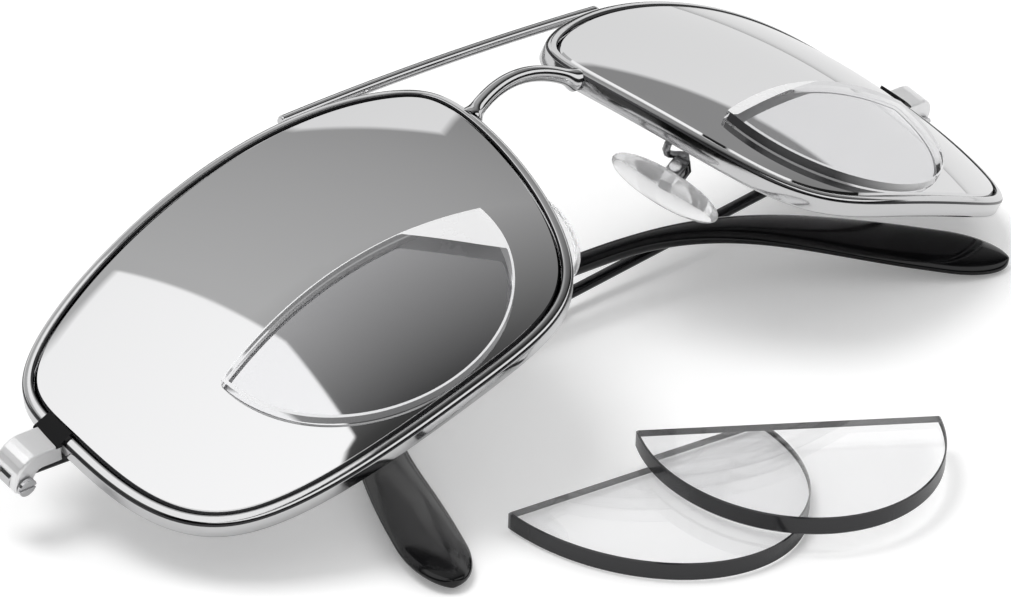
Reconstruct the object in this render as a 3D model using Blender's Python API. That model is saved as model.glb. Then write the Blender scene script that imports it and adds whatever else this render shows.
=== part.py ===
"""Folded metal sunglasses with stick-on half-moon reading segments, and a loose spare pair of segments.

Everything on the glasses is drawn in the wearing frame (x to the viewer's right, y toward the wearer,
z up) under one empty that lays the folded glasses on the table. Sizes are in millimetres.
"""
import math

import bmesh
import bpy
import numpy as np
from mathutils import Euler, Matrix, Vector

MM = 0.001

# Lying pose of the folded glasses on the table.
SEAT_TILT = (-74.11, 1.01, 0.0)
SEAT_PLACE = (0.34, 13.38, 25.61)

# Lens shape and its seat in the front.
LENS_WIDE = 59.9
LENS_HIGH = 41.0
LENS_APART = 17.1
LENS_SET_BACK = 3.75
WRAP_ANGLE = 18.2
BASE_RADIUS = 84.0
OUTLINE_STEPS = 7
RIM_THICK = 1.2
RIM_DEPTH = 2.2
RIM_ROUND = 0.3
GROOVE_DEPTH = 0.5
GROOVE_WIDE = 1.1
SEAT_GAP = 0.3
LENS_THICK = 1.8
LENS_BEVEL = 0.7

# Reading segments: the bonded pair and the loose pair.
SEGMENT_WIDE = 35.4
SEGMENT_DEEP = 16.0
SEGMENT_THICK = 1.1
SEGMENT_AT = (-1.6, -2.6)
BOND_GAP = 0.15
SPARE_WIDE = 33.0
SPARE_DEEP = 20.5
SPARE_THICK = 2.0
SPARE_EDGE = 0.15
SPARE_LOWER = (-15.96, -11.02, -9.7)
SPARE_UPPER = (0.84, -17.31, -36.5)
SPARE_GAP = 0.1

# Bridge and brow bar.
BRIDGE_RADIUS = 0.9
BRIDGE_AT = 9.9
BRIDGE_RISE = 1.7
BRIDGE_FORWARD = 1.8
BRIDGE_GAP = 0.6
BAR_RADIUS = 0.65
BAR_HALF = 24.6
BAR_RISE = 0.7
BRAZE_GAP = 0.25

# Hinge and end piece.
HINGE_OUT = 4.4
HINGE_BACK = 2.49
HINGE_UP = 5.5
STRAP_HIGH = 3.7
STRAP_BEND = 2.6
STRAP_INNER = 0.8
STRAP_SKEW = 0.35
BARREL_RADIUS = 1.25
EYE_HIGH = 1.6
EYE_GAP = 0.15
SCREW_RADIUS = 0.5
SCREW_GAP = 0.08
HEAD_RADIUS = 1.05
HEAD_HIGH = 0.45
SLOT_WIDE = 0.32

# Temples, measured along the wire from the hinge.
FOLD = {"right": -1.5, "left": 3.0}
HOOK_TURN = {"right": 38.0, "left": 60.0}
TEMPLE_DROP = 2.8
WIRE_RADIUS = 0.7
TIP_START = 64.0
WIRE_END = 75.0
HOOK_START = 78.0
HOOK_LONG = 38.0
TIP_END = 133.0
TIP_HALF = 1.2
PADDLE_HALF = 3.8
TIP_THICK_HALF = 1.1
HOOK_IN = {"right": 0.5, "left": 11.0}

# Nose pads.
PAD_LONG = 14.0
PAD_WIDE = 7.2
PAD_THICK = 2.4
PAD_CENTRE = (9.8, 5.3, -4.8)
PAD_NORMAL = (-0.84, 0.5, -0.2)
PAD_LEAN = 10.0
TAB = (1.6, 1.0, 1.9)
CHEEK = 0.5
CHEEK_GAP = 0.2
PAD_SCREW_RADIUS = 0.35
ARM_RADIUS = 0.45
ARM_BOW = 3.0
ARM_ABOVE = 2.0

SIDES = {"right": -1, "left": 1}

# Control points of the lens shape in half widths and half heights, outward and up from its centre.
OUTLINE = [(1.028, 0.312), (1.028, 0.81), (-0.294, 1.073), (-0.902, 0.878),
           (-1.022, 0.61), (-0.805, -0.81), (-0.304, -1.034), (1.048, -0.99)]


def clear_scene():
    for obj in list(bpy.data.objects):
        bpy.data.objects.remove(obj, do_unlink=True)


def collection(name):
    group = bpy.data.collections.new(name)
    bpy.context.scene.collection.children.link(group)
    return group


def material(name, colour, roughness, metallic, transmission=0.0):
    mat = bpy.data.materials.new(name)
    mat.use_nodes = True
    shader = mat.node_tree.nodes["Principled BSDF"]
    shader.inputs["Base Color"].default_value = (*colour, 1.0)
    shader.inputs["Roughness"].default_value = roughness
    shader.inputs["Metallic"].default_value = metallic
    shader.inputs["Transmission Weight"].default_value = transmission
    mat.diffuse_color = (*colour, 1.0)
    return mat


clear_scene()
PARTS = collection("clip_on_reading_sunglasses")
CUTTERS = collection("cutters")
GUNMETAL = material("gunmetal", (0.32, 0.32, 0.33), 0.18, 1.0)
STEEL = material("screw_steel", (0.55, 0.55, 0.56), 0.25, 1.0)
TINT = material("grey_lens", (0.10, 0.10, 0.11), 0.05, 0.0)
CLEAR = material("clear_segment", (0.90, 0.91, 0.92), 0.04, 0.0, 0.9)
BLACK = material("black_tip", (0.012, 0.012, 0.013), 0.15, 0.0)
SILICONE = material("clear_pad", (0.82, 0.83, 0.84), 0.3, 0.0, 0.6)


def empty(name, parent=None, matrix=None):
    obj = bpy.data.objects.new(name, None)
    PARTS.objects.link(obj)
    obj.parent = parent
    if matrix is not None:
        obj.matrix_local = matrix
    return obj


def add(name, data, mat, parent, group=None):
    obj = bpy.data.objects.new(name, data)
    (group or PARTS).objects.link(obj)
    if mat is not None:
        data.materials.clear()
        data.materials.append(mat)
    obj.parent = parent
    return obj


def cutter(name, mesh, parent):
    obj = add(name, mesh, None, parent, CUTTERS)
    obj.hide_render = True
    obj.display_type = "WIRE"
    return obj


def boolean(obj, tool, operation):
    mod = obj.modifiers.new(tool.name, "BOOLEAN")
    mod.object = tool
    mod.operation = operation
    mod.solver = "EXACT"


def to_mesh(bm, name):
    bmesh.ops.recalc_face_normals(bm, faces=bm.faces)
    mesh = bpy.data.meshes.new(name)
    bm.to_mesh(mesh)
    bm.free()
    return mesh


def loft(name, rings, ends):
    """Skin a row of closed rings of equal count; ends are the two points that close it as fans."""
    bm = bmesh.new()
    rows = [[bm.verts.new(Vector(p) * MM) for p in ring] for ring in rings]
    count = len(rows[0])
    for low, high in zip(rows, rows[1:]):
        for i in range(count):
            j = (i + 1) % count
            bm.faces.new((low[i], low[j], high[j], high[i]))
    for row, point in ((rows[0], ends[0]), (rows[-1], ends[1])):
        tip = bm.verts.new(Vector(point) * MM)
        for i in range(count):
            bm.faces.new((row[i], row[(i + 1) % count], tip))
    return to_mesh(bm, name)


def cylinder(name, radius, low, high, matrix=None, sides=20):
    bm = bmesh.new()
    bmesh.ops.create_cone(bm, cap_ends=True, segments=sides, radius1=radius * MM,
                          radius2=radius * MM, depth=(high - low) * MM)
    bmesh.ops.translate(bm, verts=bm.verts, vec=(0, 0, (low + high) / 2 * MM))
    if matrix is not None:
        bmesh.ops.transform(bm, matrix=matrix, verts=bm.verts)
    return to_mesh(bm, name)


def box(name, low, high, matrix=None):
    bm = bmesh.new()
    bmesh.ops.create_cube(bm, size=1.0)
    low, high = Vector(low), Vector(high)
    bmesh.ops.scale(bm, verts=bm.verts, vec=(high - low) * MM)
    bmesh.ops.translate(bm, verts=bm.verts, vec=(low + high) / 2 * MM)
    if matrix is not None:
        bmesh.ops.transform(bm, matrix=matrix, verts=bm.verts)
    return to_mesh(bm, name)


def wire(name, points, radius, closed=False, profile=None):
    curve = bpy.data.curves.new(name, "CURVE")
    curve.dimensions = "3D"
    curve.twist_mode = "Z_UP" if profile else "MINIMUM"
    spline = curve.splines.new("POLY")
    spline.points.add(len(points) - 1)
    for point, place in zip(spline.points, points):
        point.co = (*(Vector(place) * MM), 1.0)
    spline.use_cyclic_u = closed
    if profile:
        curve.bevel_mode = "OBJECT"
        curve.bevel_object = profile
    else:
        curve.bevel_depth = radius * MM
        curve.bevel_resolution = 2
        curve.use_fill_caps = True
    return curve


def plate(name, points, thick, edge):
    curve = bpy.data.curves.new(name, "CURVE")
    curve.dimensions = "2D"
    curve.fill_mode = "BOTH"
    spline = curve.splines.new("POLY")
    spline.points.add(len(points) - 1)
    for point, place in zip(spline.points, points):
        point.co = (place[0] * MM, place[1] * MM, 0.0, 1.0)
    spline.use_cyclic_u = True
    curve.extrude = (thick / 2 - edge) * MM
    curve.bevel_depth = edge * MM
    curve.bevel_resolution = 0
    curve.offset = -edge * MM
    return curve


def meshed(obj):
    """Turn a curve object into a closed mesh object of the same name and parent."""
    mesh = bpy.data.meshes.new_from_object(obj.evaluated_get(bpy.context.evaluated_depsgraph_get()))
    bm = bmesh.new()
    bm.from_mesh(mesh)
    bmesh.ops.remove_doubles(bm, verts=bm.verts, dist=0.000002)
    bmesh.ops.recalc_face_normals(bm, faces=bm.faces)
    bm.to_mesh(mesh)
    bm.free()
    name, parent, mat = obj.name, obj.parent, obj.data.materials[0]
    bpy.data.objects.remove(obj, do_unlink=True)
    return add(name, mesh, mat, parent)


def outline(offset=0.0):
    """Closed cubic B-spline through the OUTLINE frame of control points, moved out by offset."""
    corners = np.array(OUTLINE) * (LENS_WIDE / 2, LENS_HIGH / 2)
    step = np.arange(len(corners) * OUTLINE_STEPS) / OUTLINE_STEPS
    k = step.astype(int)
    t = (step - k)[:, None]
    near = [corners[(k + j) % len(corners)] for j in (-1, 0, 1, 2)]
    path = ((1 - t) ** 3 * near[0] + (3 * t ** 3 - 6 * t ** 2 + 4) * near[1]
            + (-3 * t ** 3 + 3 * t ** 2 + 3 * t + 1) * near[2] + t ** 3 * near[3]) / 6
    slope = (-(1 - t) ** 2 * near[0] + (3 * t ** 2 - 4 * t) * near[1]
             + (-3 * t ** 2 + 2 * t + 1) * near[2] + t ** 2 * near[3]) / 2
    out = np.stack([slope[:, 1], -slope[:, 0]], 1) / np.linalg.norm(slope, axis=1)[:, None]
    return path + offset * out


def dome(flat, lift=0.0, side=1):
    """Points of the lens plane raised to the sphere of the base curve plus lift."""
    u, v = flat[:, 0], flat[:, 1]
    return np.stack([side * u, v, lift - (u * u + v * v) / (2 * BASE_RADIUS)], 1)


def centre_out():
    """Lens centre from the middle plane, so that the two lenses stand LENS_APART at the nose."""
    turn = math.radians(WRAP_ANGLE)
    edge = dome(outline())
    return LENS_APART / 2 - (math.cos(turn) * edge[:, 0] + math.sin(turn) * edge[:, 2]).min()


LENS_CENTRE = centre_out()


def lens_seat(side):
    turn = math.radians(WRAP_ANGLE)
    c, s = math.cos(turn), side * math.sin(turn)
    return Matrix(((c, 0, s, side * LENS_CENTRE * MM), (s, 0, -c, LENS_SET_BACK * MM),
                   (0, 1, 0, 0), (0, 0, 0, 1)))


def arc(x, y, radius, start, stop, count):
    """Points of a circular arc about x, y, angles in degrees."""
    turns = np.radians(np.linspace(start, stop, count))
    return [(x + radius * math.cos(a), y + radius * math.sin(a)) for a in turns]


def half_moon(wide, deep, straight=10, round_steps=26):
    """Straight upper edge and half-ellipse below, counter-clockwise from the left end."""
    turn = np.linspace(math.pi, 2 * math.pi, round_steps + 1)
    arc = np.stack([wide / 2 * np.cos(turn), deep * np.sin(turn)], 1)
    edge = np.linspace(wide / 2, -wide / 2, straight + 1)[1:-1]
    return np.concatenate([arc, np.stack([edge, 0 * edge], 1)])


def shell(name, rim, scales, low, high, edge_in, side, middle):
    """Curved plate between two lifts of the base curve, with an edge drawn in by edge_in."""
    inner = middle + (rim - middle) * (1 - edge_in)
    rings = [dome(middle + (inner - middle) * k, high, side) for k in scales]
    rings += [dome(inner, high, side), dome(rim, (low + high) / 2, side), dome(inner, low, side)]
    rings += [dome(middle + (inner - middle) * k, low, side) for k in reversed(scales)]
    ends = [dome(middle[None, :], lift, side)[0] for lift in (high, low)]
    return loft(name, rings, ends)


SEAT = empty("glasses_seat", None,
             Matrix.Translation(Vector(SEAT_PLACE) * MM)
             @ Euler([math.radians(a) for a in SEAT_TILT], "XYZ").to_matrix().to_4x4())

# The channel section of the eyewire: outward to the right, front of the lens up.
half, deep = RIM_THICK / 2, RIM_DEPTH / 2
section = [(half, -deep + RIM_ROUND), (half, deep - RIM_ROUND), (half - RIM_ROUND, deep),
           (-half + RIM_ROUND, deep), (-half, deep - RIM_ROUND), (-half, GROOVE_WIDE / 2),
           (GROOVE_DEPTH - half, 0.0), (-half, -GROOVE_WIDE / 2), (-half, -deep + RIM_ROUND),
           (-half + RIM_ROUND, -deep), (half - RIM_ROUND, -deep)]
channel = bpy.data.curves.new("channel_section", "CURVE")
channel.dimensions = "2D"
channel_line = channel.splines.new("POLY")
channel_line.points.add(len(section) - 1)
for point, place in zip(channel_line.points, section):
    point.co = (place[0] * MM, place[1] * MM, 0.0, 1.0)
channel_line.use_cyclic_u = True
CHANNEL = bpy.data.objects.new("channel_section", channel)
CUTTERS.objects.link(CHANNEL)
CHANNEL.hide_render = True
CHANNEL.display_type = "WIRE"

for label, side in SIDES.items():
    place = empty(f"lens_seat_{label}", SEAT, lens_seat(side))

    # Eyewire.
    path = dome(outline(), 0.0, side)
    if side < 0:
        path = path[::-1]
    rim = add(f"rim_{label}", wire(f"rim_{label}", path, 0, True, CHANNEL), GUNMETAL, place)
    meshed(rim)

    # Sun lens, its bevelled edge standing in the groove of the eyewire.
    apex = outline(GROOVE_DEPTH - half - SEAT_GAP)
    size = np.abs(apex).mean()
    add(f"sun_lens_{label}",
        shell(f"sun_lens_{label}", apex, (0.25, 0.5, 0.75), -LENS_THICK / 2, LENS_THICK / 2,
              LENS_BEVEL / size / 1.6, side, np.zeros(2)), TINT, place)

    # Bonded reading segment on the lens front.
    moon = half_moon(SEGMENT_WIDE, SEGMENT_DEEP) + np.array(SEGMENT_AT)
    middle = np.array([SEGMENT_AT[0], SEGMENT_AT[1] - SEGMENT_DEEP * 0.42])
    low = LENS_THICK / 2 + BOND_GAP
    add(f"reading_segment_{label}",
        shell(f"reading_segment_{label}", moon, (0.35, 0.7), low, low + SEGMENT_THICK,
              0.012, side, middle), CLEAR, place)


def on_rim(label, u_sign, height, out, back):
    """Wearing-frame point beside the eyewire at a height, on its nasal or temporal side."""
    path = outline(out)
    pick = path[np.sign(path[:, 0]) == u_sign]
    pick = pick[np.argsort(pick[:, 1])]
    u = np.interp(height, pick[:, 1], pick[:, 0])
    flat = np.array([[u, height]])
    local = dome(flat, -back, SIDES[label])[0]
    return np.array(lens_seat(SIDES[label]) @ Vector(local * MM)) / MM


def top_of_rim(reach):
    """Highest point of the eyewire's outer wall within reach of the middle plane."""
    walls = dome(outline(half), 0.0, 1)
    spots = np.array([lens_seat(1) @ Vector(p * MM) for p in walls]) / MM
    pick = spots[(np.abs(spots[:, 0]) < reach + 2.0) & (spots[:, 2] > 10)]
    return pick[np.argmax(pick[:, 2])]


# Arched bridge between the nasal sides of the eyewires.
root = on_rim("left", -1, BRIDGE_AT, half + BRIDGE_GAP, 0.0)
across = np.linspace(-1, 1, 15)
arch = 1 - across ** 2
bridge_path = np.stack([root[0] * across, root[1] - BRIDGE_FORWARD * arch,
                        root[2] + BRIDGE_RISE * arch], 1)
meshed(add("bridge", wire("bridge", bridge_path, BRIDGE_RADIUS), GUNMETAL, SEAT))

# Straight brow bar lapping on the tops of both eyewires.
crest = top_of_rim(BAR_HALF)
bar_height = crest[2] + BAR_RADIUS + BRAZE_GAP
bow = np.linspace(-1, 1, 9)
bar_path = np.stack([BAR_HALF * bow, crest[1] + 0 * bow, bar_height + BAR_RISE * (1 - bow ** 2)], 1)
meshed(add("brow_bar", wire("brow_bar", bar_path, BAR_RADIUS), GUNMETAL, SEAT))


def pad_frame(side):
    normal = Vector((side * PAD_NORMAL[0], PAD_NORMAL[1], PAD_NORMAL[2])).normalized()
    lean = math.radians(PAD_LEAN)
    long_axis = Vector((-side * math.sin(lean), 0, math.cos(lean)))
    long_axis = (long_axis - normal * long_axis.dot(normal)).normalized()
    wide_axis = long_axis.cross(normal)
    centre = Vector((side * PAD_CENTRE[0], PAD_CENTRE[1], PAD_CENTRE[2])) * MM
    frame = Matrix((wide_axis, long_axis, normal)).transposed().to_4x4()
    frame.translation = centre
    return frame


TURN_X = Matrix.Rotation(math.radians(90), 4, "Y")

for label, side in SIDES.items():
    start = on_rim(label, 1, HINGE_UP, half + BRAZE_GAP, 0.0)
    hinge = Vector((start[0] + side * HINGE_OUT, start[1] + HINGE_BACK, HINGE_UP)) * MM
    axle = empty(f"hinge_axis_{label}", SEAT, Matrix.Translation(hinge))

    # End piece: a bent strap from the eyewire to the hinge fork, drawn in plan about the hinge.
    front = -HINGE_BACK - RIM_DEPTH / 2
    rear = -HINGE_BACK + RIM_DEPTH / 2
    strap = [(STRAP_SKEW - HINGE_OUT, front)]
    strap += arc(BARREL_RADIUS - STRAP_BEND, front + STRAP_BEND, STRAP_BEND, -90, 0, 7)
    strap += arc(0.0, 0.0, BARREL_RADIUS, 0, 180, 9)
    strap += arc(-BARREL_RADIUS - STRAP_INNER, rear + STRAP_INNER, STRAP_INNER, 0, -90, 4)
    strap += [(-STRAP_SKEW - HINGE_OUT, rear)]
    strap = [(side * x, y) for x, y in strap][::side]
    piece = meshed(add(f"endpiece_{label}", plate(f"endpiece_{label}", strap, STRAP_HIGH, 0.2),
                       GUNMETAL, axle))
    slot = cutter(f"fork_slot_{label}",
                  cylinder("slot", BARREL_RADIUS + 0.4, -EYE_HIGH / 2 - EYE_GAP, EYE_HIGH / 2 + EYE_GAP),
                  axle)
    bore = cutter(f"fork_bore_{label}",
                  cylinder("bore", SCREW_RADIUS + SCREW_GAP, -STRAP_HIGH, STRAP_HIGH), axle)
    boolean(piece, slot, "DIFFERENCE")
    boolean(piece, bore, "DIFFERENCE")

    # Hinge screw with a slotted head under the fork.
    under = -STRAP_HIGH / 2 - EYE_GAP
    screw = add(f"hinge_screw_{label}",
                cylinder("screw", SCREW_RADIUS, under - 0.1, STRAP_HIGH / 2 + 0.25), STEEL, axle)
    head = cutter(f"screw_head_{label}",
                  cylinder("head", HEAD_RADIUS, under - HEAD_HIGH, under), axle)
    cut = cutter(f"screw_slot_{label}",
                 box("cut", (-2, -SLOT_WIDE / 2, under - 1), (2, SLOT_WIDE / 2, under - HEAD_HIGH / 2)),
                 axle)
    boolean(screw, head, "UNION")
    boolean(screw, cut, "DIFFERENCE")

    # Temple: wire with a hinge eye, folded behind the front.
    fold = math.radians(FOLD[label])
    temple_turn = Matrix.Rotation(-side * fold, 4, "Z")
    pivot = empty(f"temple_pivot_{label}", axle, temple_turn)
    drop = math.radians(TEMPLE_DROP)
    run = np.linspace(0.0, TIP_END, 277)
    bend = np.clip((run - HOOK_START) / HOOK_LONG, 0, 1)
    angle = drop + math.radians(HOOK_TURN[label]) * bend ** 2 * (3 - 2 * bend)
    step = run[1] - run[0]
    along = np.cumsum(np.cos(angle)) * step - step
    down = np.cumsum(np.sin(angle)) * step
    inward = HOOK_IN[label] * np.clip((run - HOOK_START) / (TIP_END - HOOK_START), 0, 1) ** 1.25
    line = np.stack([-side * along, -inward, -down], 1)

    def at(s):
        return np.array([np.interp(s, run, line[:, i]) for i in range(3)])

    stations = np.linspace(0.9, WIRE_END, 9)
    temple = meshed(add(f"temple_{label}",
                        wire(f"temple_{label}", [at(s) for s in stations], WIRE_RADIUS),
                        GUNMETAL, pivot))
    eye = cutter(f"temple_eye_{label}",
                 cylinder("eye", BARREL_RADIUS, -EYE_HIGH / 2, EYE_HIGH / 2), pivot)
    hole = cutter(f"temple_bore_{label}",
                  cylinder("hole", SCREW_RADIUS + SCREW_GAP, -2, 2), pivot)
    boolean(temple, eye, "UNION")
    boolean(temple, hole, "DIFFERENCE")

    # Temple tip: a sleeve bored for the wire, widening to a paddle.
    marks = np.array([0.0, 0.02, 0.1, 0.2, 0.32, 0.44, 0.55, 0.65, 0.74, 0.82, 0.89, 0.95, 0.985])
    rings = []
    for mark in marks:
        s = TIP_START + (TIP_END - TIP_START) * mark
        ahead = at(min(s + 0.5, TIP_END)) - at(min(s + 0.5, TIP_END) - 1.0)
        ahead = ahead / np.linalg.norm(ahead)
        flat = np.cross(ahead, (0, side, 0))
        flat = flat / np.linalg.norm(flat)
        thin = np.cross(flat, ahead)
        grow = np.clip((mark - 0.3) / 0.55, 0, 1)
        high = TIP_HALF + (PADDLE_HALF - TIP_HALF) * grow ** 2 * (3 - 2 * grow)
        thick = TIP_THICK_HALF
        end = math.sqrt(max(0.0, 1 - ((mark - 0.89) / 0.11) ** 2)) if mark > 0.89 else 1.0
        if mark == 0.0:
            end = 0.88
        ring = np.linspace(0, 2 * math.pi, 14, endpoint=False)
        rings.append(at(s) + end * high * np.cos(ring)[:, None] * flat
                     + (0.5 + 0.5 * end) * thick * np.sin(ring)[:, None] * thin)
    sleeve = add(f"temple_tip_{label}",
                 loft(f"temple_tip_{label}", rings, (at(TIP_START), at(TIP_END))), BLACK, pivot)
    core = meshed(add(f"core_{label}",
                      wire(f"core_{label}", [at(TIP_START - 2), at(TIP_START + 5), at(WIRE_END + SEAT_GAP)],
                           WIRE_RADIUS + 0.15), BLACK, pivot))
    PARTS.objects.unlink(core)
    CUTTERS.objects.link(core)
    core.hide_render = True
    core.display_type = "WIRE"
    boolean(sleeve, core, "DIFFERENCE")

    # Nose pad: oval with a mounting tab, on a screw across the box of its arm.
    pad_matrix = pad_frame(side)
    tab_mid = -PAD_THICK / 2 - TAB[2] * 0.55
    frame = pad_matrix @ Matrix.Translation((0, 0, tab_mid * MM))
    pad_axis = empty(f"pad_axis_{label}", SEAT, frame)
    ring = np.linspace(0, 2 * math.pi, 20, endpoint=False)
    oval = np.stack([PAD_WIDE / 2 * np.cos(ring), PAD_LONG / 2 * np.sin(ring), 0 * ring], 1)
    layers = []
    for k, z in ((0.45, 0.46), (0.8, 0.36), (0.96, 0.16), (1.0, -0.1), (0.94, -0.36), (0.78, -0.5), (0.4, -0.5)):
        layers.append(oval * k + np.array([0, 0, z * PAD_THICK - tab_mid]))
    pad = add(f"nose_pad_{label}",
              loft(f"nose_pad_{label}", layers, ((0, 0, 0.5 * PAD_THICK - tab_mid),
                                                 (0, 0, -0.5 * PAD_THICK - tab_mid))), SILICONE, pad_axis)
    tab_low = -PAD_THICK / 2 - TAB[2] - tab_mid
    tab = cutter(f"pad_tab_{label}",
                 box("tab", (-TAB[1] / 2, -TAB[0] / 2, tab_low), (TAB[1] / 2, TAB[0] / 2, -tab_mid - 0.8)),
                 pad_axis)
    eyelet = cutter(f"pad_eyelet_{label}",
                    cylinder("eyelet", PAD_SCREW_RADIUS + SCREW_GAP, -3, 3, TURN_X, 12), pad_axis)
    boolean(pad, tab, "UNION")
    boolean(pad, eyelet, "DIFFERENCE")

    # Pad arm: bent wire from the back of the eyewire with a two-cheek mounting box.
    wall = TAB[1] / 2 + CHEEK_GAP
    floor = tab_low - CHEEK_GAP
    brace = on_rim(label, -1, PAD_CENTRE[2] + ARM_ABOVE, 0.0, deep + BRAZE_GAP)
    foot = np.array(frame @ Vector((0, 0, (floor - 0.25) * MM))) / MM
    away = np.array(lens_seat(side).to_3x3() @ Vector((0, 0, -1)))
    behind = np.array(frame.to_3x3() @ Vector((0, 0, -1)))
    t = np.linspace(0, 1, 10)[:, None]
    arm_path = ((1 - t) ** 3 * brace + 3 * t * (1 - t) ** 2 * (brace + ARM_BOW * away)
                + 3 * t ** 2 * (1 - t) * (foot + ARM_BOW * behind) + t ** 3 * foot)
    arm = meshed(add(f"pad_arm_{label}", wire(f"pad_arm_{label}", arm_path, ARM_RADIUS), GUNMETAL, SEAT))
    base = cutter(f"pad_base_{label}",
                  box("base", (-wall - CHEEK, -TAB[0] / 2 - 0.1, floor - CHEEK),
                      (wall + CHEEK, TAB[0] / 2 + 0.1, floor)), pad_axis)
    boolean(arm, base, "UNION")
    for sign in (-1, 1):
        low, high = sorted((sign * wall, sign * (wall + CHEEK)))
        cheek = cutter(f"pad_cheek_{label}_{sign}",
                       box("cheek", (low, -TAB[0] / 2 - 0.1, floor - CHEEK / 2), (high, TAB[0] / 2 + 0.1, 0.75)),
                       pad_axis)
        boolean(arm, cheek, "UNION")
    cross = cutter(f"pad_cross_{label}",
                   cylinder("cross", PAD_SCREW_RADIUS + SCREW_GAP, -wall - CHEEK - 0.4, wall + CHEEK + 0.4,
                            TURN_X, 12), pad_axis)
    boolean(arm, cross, "DIFFERENCE")
    pin_end = wall + CHEEK + SCREW_GAP
    pin = add(f"pad_screw_{label}",
              cylinder("pin", PAD_SCREW_RADIUS, -pin_end - 0.2, pin_end + 0.1, TURN_X, 12), STEEL, pad_axis)
    cap = cutter(f"pad_cap_{label}",
                 cylinder("cap", PAD_SCREW_RADIUS * 2, pin_end, pin_end + 0.35, TURN_X, 14), pad_axis)
    boolean(pin, cap, "UNION")

# Loose pair of half-moons on the table, the upper resting on the lower.
for name, (x, y, turn), lift in (("spare_segment_lower", SPARE_LOWER, 0.0),
                                 ("spare_segment_upper", SPARE_UPPER, SPARE_THICK + SPARE_GAP)):
    moon = half_moon(SPARE_WIDE, SPARE_DEEP, 2, 30)
    spare = meshed(add(name, plate(name, moon, SPARE_THICK, SPARE_EDGE), CLEAR, None))
    spare.matrix_world = (Matrix.Translation(Vector((x, y, lift + SPARE_THICK / 2)) * MM)
                          @ Matrix.Rotation(math.radians(turn), 4, "Z"))
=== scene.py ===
"""Looks of the folded sunglasses with half-moon reading segments, dressed on the CAD frame.

Shapes are numpy grids in the wearing frame of the glasses (x to the viewer's right, y toward the
wearer, z up, millimetres), laid on the table by one seat matrix.
"""
import math

import bpy
import numpy as np
from mathutils import Euler, Matrix, Vector


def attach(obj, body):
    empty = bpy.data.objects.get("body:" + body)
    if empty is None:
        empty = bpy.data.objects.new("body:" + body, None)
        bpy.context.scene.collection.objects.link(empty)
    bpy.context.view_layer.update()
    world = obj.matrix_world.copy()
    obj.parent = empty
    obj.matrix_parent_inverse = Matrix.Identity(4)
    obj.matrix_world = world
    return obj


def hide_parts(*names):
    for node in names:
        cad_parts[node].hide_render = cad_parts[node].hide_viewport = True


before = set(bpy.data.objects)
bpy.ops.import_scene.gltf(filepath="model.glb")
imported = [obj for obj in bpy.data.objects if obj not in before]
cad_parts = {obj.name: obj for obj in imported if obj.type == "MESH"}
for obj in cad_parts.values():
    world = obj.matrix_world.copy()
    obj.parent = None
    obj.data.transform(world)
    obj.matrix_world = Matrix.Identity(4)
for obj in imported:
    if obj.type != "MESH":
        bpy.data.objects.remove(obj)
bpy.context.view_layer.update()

MM = 0.001
SIDES = {"right": -1, "left": 1}

# Lying pose of the folded glasses on the table.
SEAT_TILT = (-74.11, 1.01, 0.0)
SEAT_PLACE = (0.34, 13.38, 25.61)

# Lens shape and its seat in the front.
LENS_WIDE = 59.9
LENS_HIGH = 41.0
LENS_APART = 17.1
LENS_SET_BACK = 3.75
WRAP_ANGLE = 18.2
BASE_RADIUS = 84.0
RIM_THICK = 1.2
RIM_DEPTH = 2.2
RIM_ROUND = 0.42
GROOVE_DEPTH = 0.5
GROOVE_WIDE = 1.1
SEAT_GAP = 0.3
LENS_THICK = 1.8
LENS_BEVEL = 0.62
OUTLINE = [(1.028, 0.312), (1.028, 0.81), (-0.294, 1.073), (-0.902, 0.878),
           (-1.022, 0.61), (-0.805, -0.81), (-0.304, -1.034), (1.048, -0.99)]

# Eyewire section, in half sizes, with its lines of painted dark reflection, and the black plate
# over it, itself a painted dark reflection.
HALF = RIM_THICK / 2
DEEP = RIM_DEPTH / 2
LIP_AT = -0.42
CORNER_AT = 0.42
CORNER_FROM = 0.1
PLATE_LONG = 4.4
PLATE_FROM = -0.7
PLATE_TO = 1.5
PLATE_HALF_THICK = 0.3
PLATE_LIFT = 0.1

# Reading segments: the bonded pair and the loose pair with its places (x, y, turn, lift). A wall
# painted as a dark reflection follows the arc from the nose up to ARC_DARK_TO, paling toward a
# painted highlight from PALE_FROM over PALE_LONG.
SEGMENT_WIDE = 35.2
SEGMENT_DEEP = 15.5
SEGMENT_THICK = 1.1
SEGMENT_AT = {"right": (-0.9, -3.9), "left": (-3.0, -3.9)}
SEGMENT_BOW = 2.2
FACET_SLOPE = 0.05
# Corner facets, given by their two ends; their milky white face is a painted highlight.
FACETS = {"right": ((-8.0, 1.8), (-16.0, -6.0)), "left": ((1.0, 2.2), (-17.55, -1.0))}
ARC_DARK_TO = {"left": 6.0}
PALE_FROM = -11.0
PALE_LONG = 15.0
FACE_SHARE = 0.98
CHAMFER = 0.1
BOND_GAP = 0.15
SPARE_WIDE = 33.0
SPARE_DEEP = 20.5
SPARE_THICK = 2.0
SPARE_FACE_SHARE = 0.988
SPARE_CHAMFER = 0.15
SPARES = {"lower": (-15.96, -11.02, -9.7, 0.0), "upper": (0.84, -17.31, -36.5, 2.1)}

# Grids of a face: share of the smallest ring, rings, and the middle's share of a half-moon's depth.
POLE = 0.04
LENS_RINGS = 24
SEGMENT_RINGS = 20
SPARE_RINGS = 14
MOON_MIDDLE = 0.42

# Bridge and brow bar.
BRIDGE_RADIUS = 0.9
BRIDGE_AT = 9.9
BRIDGE_RISE = 1.7
BRIDGE_FORWARD = 1.8
BRIDGE_SINK = 0.15
BRAZE_SWELL = 0.45
BRAZE_LONG = 0.8
BAR_RADIUS = 0.65
BAR_HALF = 24.6
BAR_RISE = 0.7
BAR_END_ROUND = 0.25
BRAZE_GAP = 0.25

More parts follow.
